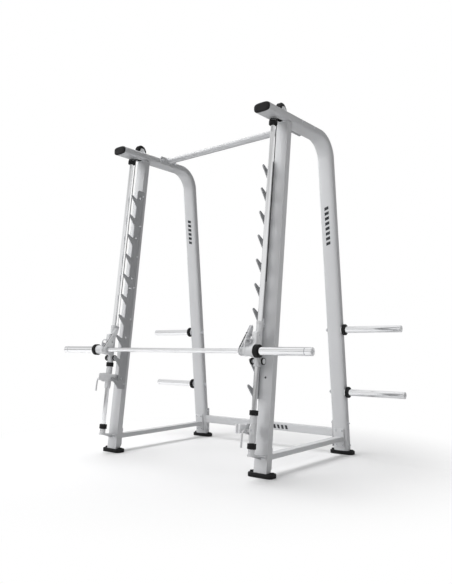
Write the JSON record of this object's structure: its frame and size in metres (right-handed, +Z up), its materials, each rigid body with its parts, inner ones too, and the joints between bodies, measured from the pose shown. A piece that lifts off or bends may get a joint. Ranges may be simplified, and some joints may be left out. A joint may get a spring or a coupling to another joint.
{
  "type": "smith machine",
  "caption": "Barbell captive on two inclined guide rods between arched side frames, with hooked rack plates, adjustable stops, counterweights and plate storage pegs.",
  "frame": {"origin": "on the floor, under the middle of the whole machine's box", "axes": "+Z up, -Y towards the lifter at the front, +X the machine's right side as its bar is faced from the rear"},
  "size_m": [2.354, 1.2576, 2.3824],
  "materials": {
    "frame_paint": "satin silver powder coat",
    "plate_paint": "satin grey powder coat",
    "carriage_cast": "satin",
    "light_steel": "satin",
    "chrome": "polished",
    "raw_steel": "plain",
    "cable": "black nylon jacket over wire rope",
    "rubber": "matt black",
    "black_plastic": "satin black"
  },
  "bodies": {
    "frame": {"rear_arch_r": "frame_paint", "rear_arch_l": "frame_paint", "beam_end_cap_r": "black_plastic", "beam_end_cap_l": "black_plastic", "front_upright_r": "frame_paint", "front_upright_l": "frame_paint", "side_rail_r": "frame_paint", "side_rail_l": "frame_paint", "front_foot_r": "rubber", "front_foot_l": "rubber", "rear_foot_r": "rubber", "rear_foot_l": "rubber", "guide_rod_r": "chrome", "guide_rod_l": "chrome", "rod_top_bumper_r": "rubber", "rod_top_bumper_l": "rubber", "rod_bottom_bumper_r": "rubber", "rod_bottom_bumper_l": "rubber", "rod_bracket_r": "light_steel", "rod_bracket_l": "light_steel", "rack_plate_r": "plate_paint", "rack_plate_l": "plate_paint", "pulley_bracket_r": "light_steel", "pulley_bracket_l": "light_steel", "cable_r": "cable", "cable_l": "cable", "storage_horn_upper_r": "chrome", "storage_horn_upper_l": "chrome", "horn_ring_upper_r": "rubber", "horn_ring_upper_l": "rubber", "storage_horn_lower_r": "chrome", "storage_horn_lower_l": "chrome", "horn_ring_lower_r": "rubber", "horn_ring_lower_l": "rubber", "rear_crossmember": "frame_paint", "pull_up_bar": "light_steel"},
    "carriages": {"carriage_r": "carriage_cast", "carriage_l": "carriage_cast"},
    "bar": {"bar_shaft": "chrome", "weight_sleeve_r": "chrome", "weight_sleeve_l": "chrome", "bar_collar_r": "rubber", "bar_collar_l": "rubber", "latch_r": "light_steel", "latch_l": "light_steel", "latch_inner_r": "light_steel", "latch_inner_l": "light_steel", "latch_catch_r": "light_steel", "latch_catch_l": "light_steel"},
    "right_stop": {"stop_housing_r": "light_steel", "stop_ring_r": "rubber"},
    "right_stop_handle": {"stop_lever_r": "chrome"},
    "left_stop": {"stop_housing_l": "light_steel", "stop_ring_l": "rubber"},
    "left_stop_handle": {"stop_lever_l": "chrome"},
    "right_pulley": {"pulley_r": "black_plastic"},
    "left_pulley": {"pulley_l": "black_plastic"},
    "right_counterweight": {"counterweight_r": "raw_steel"},
    "left_counterweight": {"counterweight_l": "raw_steel"}
  },
  "joints": [
    {"name": "carriage_slide", "type": "slide", "parent": "frame", "child": "carriages", "axis": [0, 0.1219, 0.9925], "range_m": [0, 1.285], "deforming": ["cable_r", "cable_l"]},
    {"name": "bar_turn", "type": "hinge", "parent": "carriages", "child": "bar", "pos_m": [0, -0.53728, 0.75318], "axis": [1, 0, 0], "range_deg": [-16, 30]},
    {"name": "right_stop_slide", "type": "slide", "parent": "frame", "child": "right_stop", "axis": [0, 0.1219, 0.9925], "range_m": [0, 0.257]},
    {"name": "left_stop_slide", "type": "slide", "parent": "frame", "child": "left_stop", "axis": [0, 0.1219, 0.9925], "range_m": [-0.2575, 0]},
    {"name": "right_stop_handle_turn", "type": "hinge", "parent": "right_stop", "child": "right_stop_handle", "pos_m": [0.675, -0.5509, 0.28938], "axis": [1, 0, 0], "range_deg": [-35, 0], "stiffness_Nm_per_rad": 1.5, "springref_deg": 8.59},
    {"name": "left_stop_handle_turn", "type": "hinge", "parent": "left_stop", "child": "left_stop_handle", "pos_m": [-0.675, -0.5195, 0.54516], "axis": [1, 0, 0], "range_deg": [-35, 0], "stiffness_Nm_per_rad": 1.5, "springref_deg": 8.59},
    {"name": "right_pulley_turn", "type": "hinge", "parent": "frame", "child": "right_pulley", "pos_m": [0.675, -0.17507, 2.33281], "axis": [1, 0, 0], "range_deg": [-1715, 0]},
    {"name": "right_counterweight_slide", "type": "slide", "parent": "frame", "child": "right_counterweight", "axis": [0, 0.1219, 0.9925], "range_m": [-1.285, 0]},
    {"name": "left_pulley_turn", "type": "hinge", "parent": "frame", "child": "left_pulley", "pos_m": [-0.675, -0.17507, 2.33281], "axis": [1, 0, 0], "range_deg": [-1715, 0]},
    {"name": "left_counterweight_slide", "type": "slide", "parent": "frame", "child": "left_counterweight", "axis": [0, 0.1219, 0.9925], "range_m": [-1.285, 0]}
  ],
  "couplings": [
    {"joint": "right_pulley_turn", "follows": "carriage_slide", "rad_per_m": -23.256},
    {"joint": "right_counterweight_slide", "follows": "carriage_slide", "ratio": -1},
    {"joint": "left_pulley_turn", "follows": "carriage_slide", "rad_per_m": -23.256},
    {"joint": "left_counterweight_slide", "follows": "carriage_slide", "ratio": -1}
  ]
}
